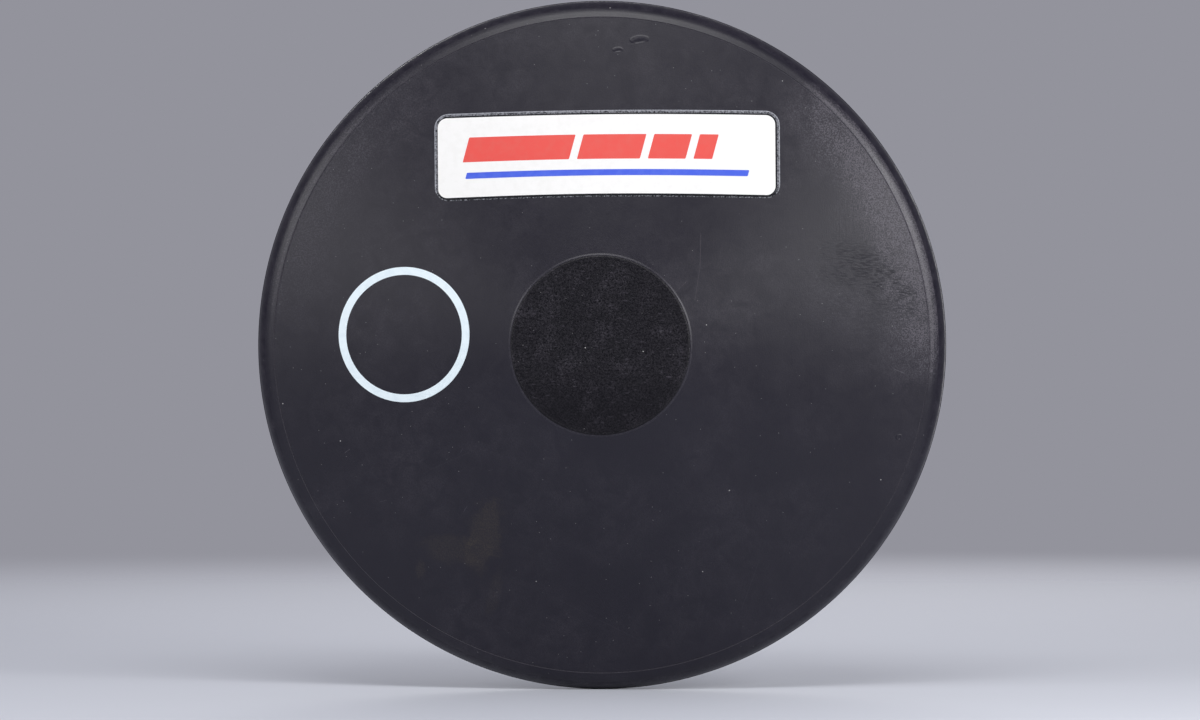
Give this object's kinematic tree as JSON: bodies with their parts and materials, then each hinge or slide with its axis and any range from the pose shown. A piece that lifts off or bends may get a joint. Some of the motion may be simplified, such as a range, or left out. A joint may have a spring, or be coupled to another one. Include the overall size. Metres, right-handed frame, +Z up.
{
  "type": "discus",
  "caption": "Round lens-shaped throwing discus of moulded rubber over a steel weight plate, with flat centres, a rounded rim, a label and a printed ring on one face.",
  "frame": {"origin": "centre of the discus, on its spin axis and on the plane where the two rubber halves meet", "axes": "Y is the spin axis and -Y points out of the front face that carries the label; Z points up through the label as the discus stands on its rim"},
  "size_m": [0.22, 0.045, 0.22],
  "materials": {
    "black_rubber": "satin",
    "plate_steel": "satin",
    "clear_film": "gloss",
    "white_print": "satin",
    "ring_ink": "satin"
  },
  "bodies": {
    "root": {"rubber_front_half": "black_rubber", "rubber_back_half": "black_rubber", "steel_core_plate": "plate_steel", "label_film": "clear_film", "label_panel": "white_print", "printed_ring": "ring_ink"}
  },
  "joints": []
}
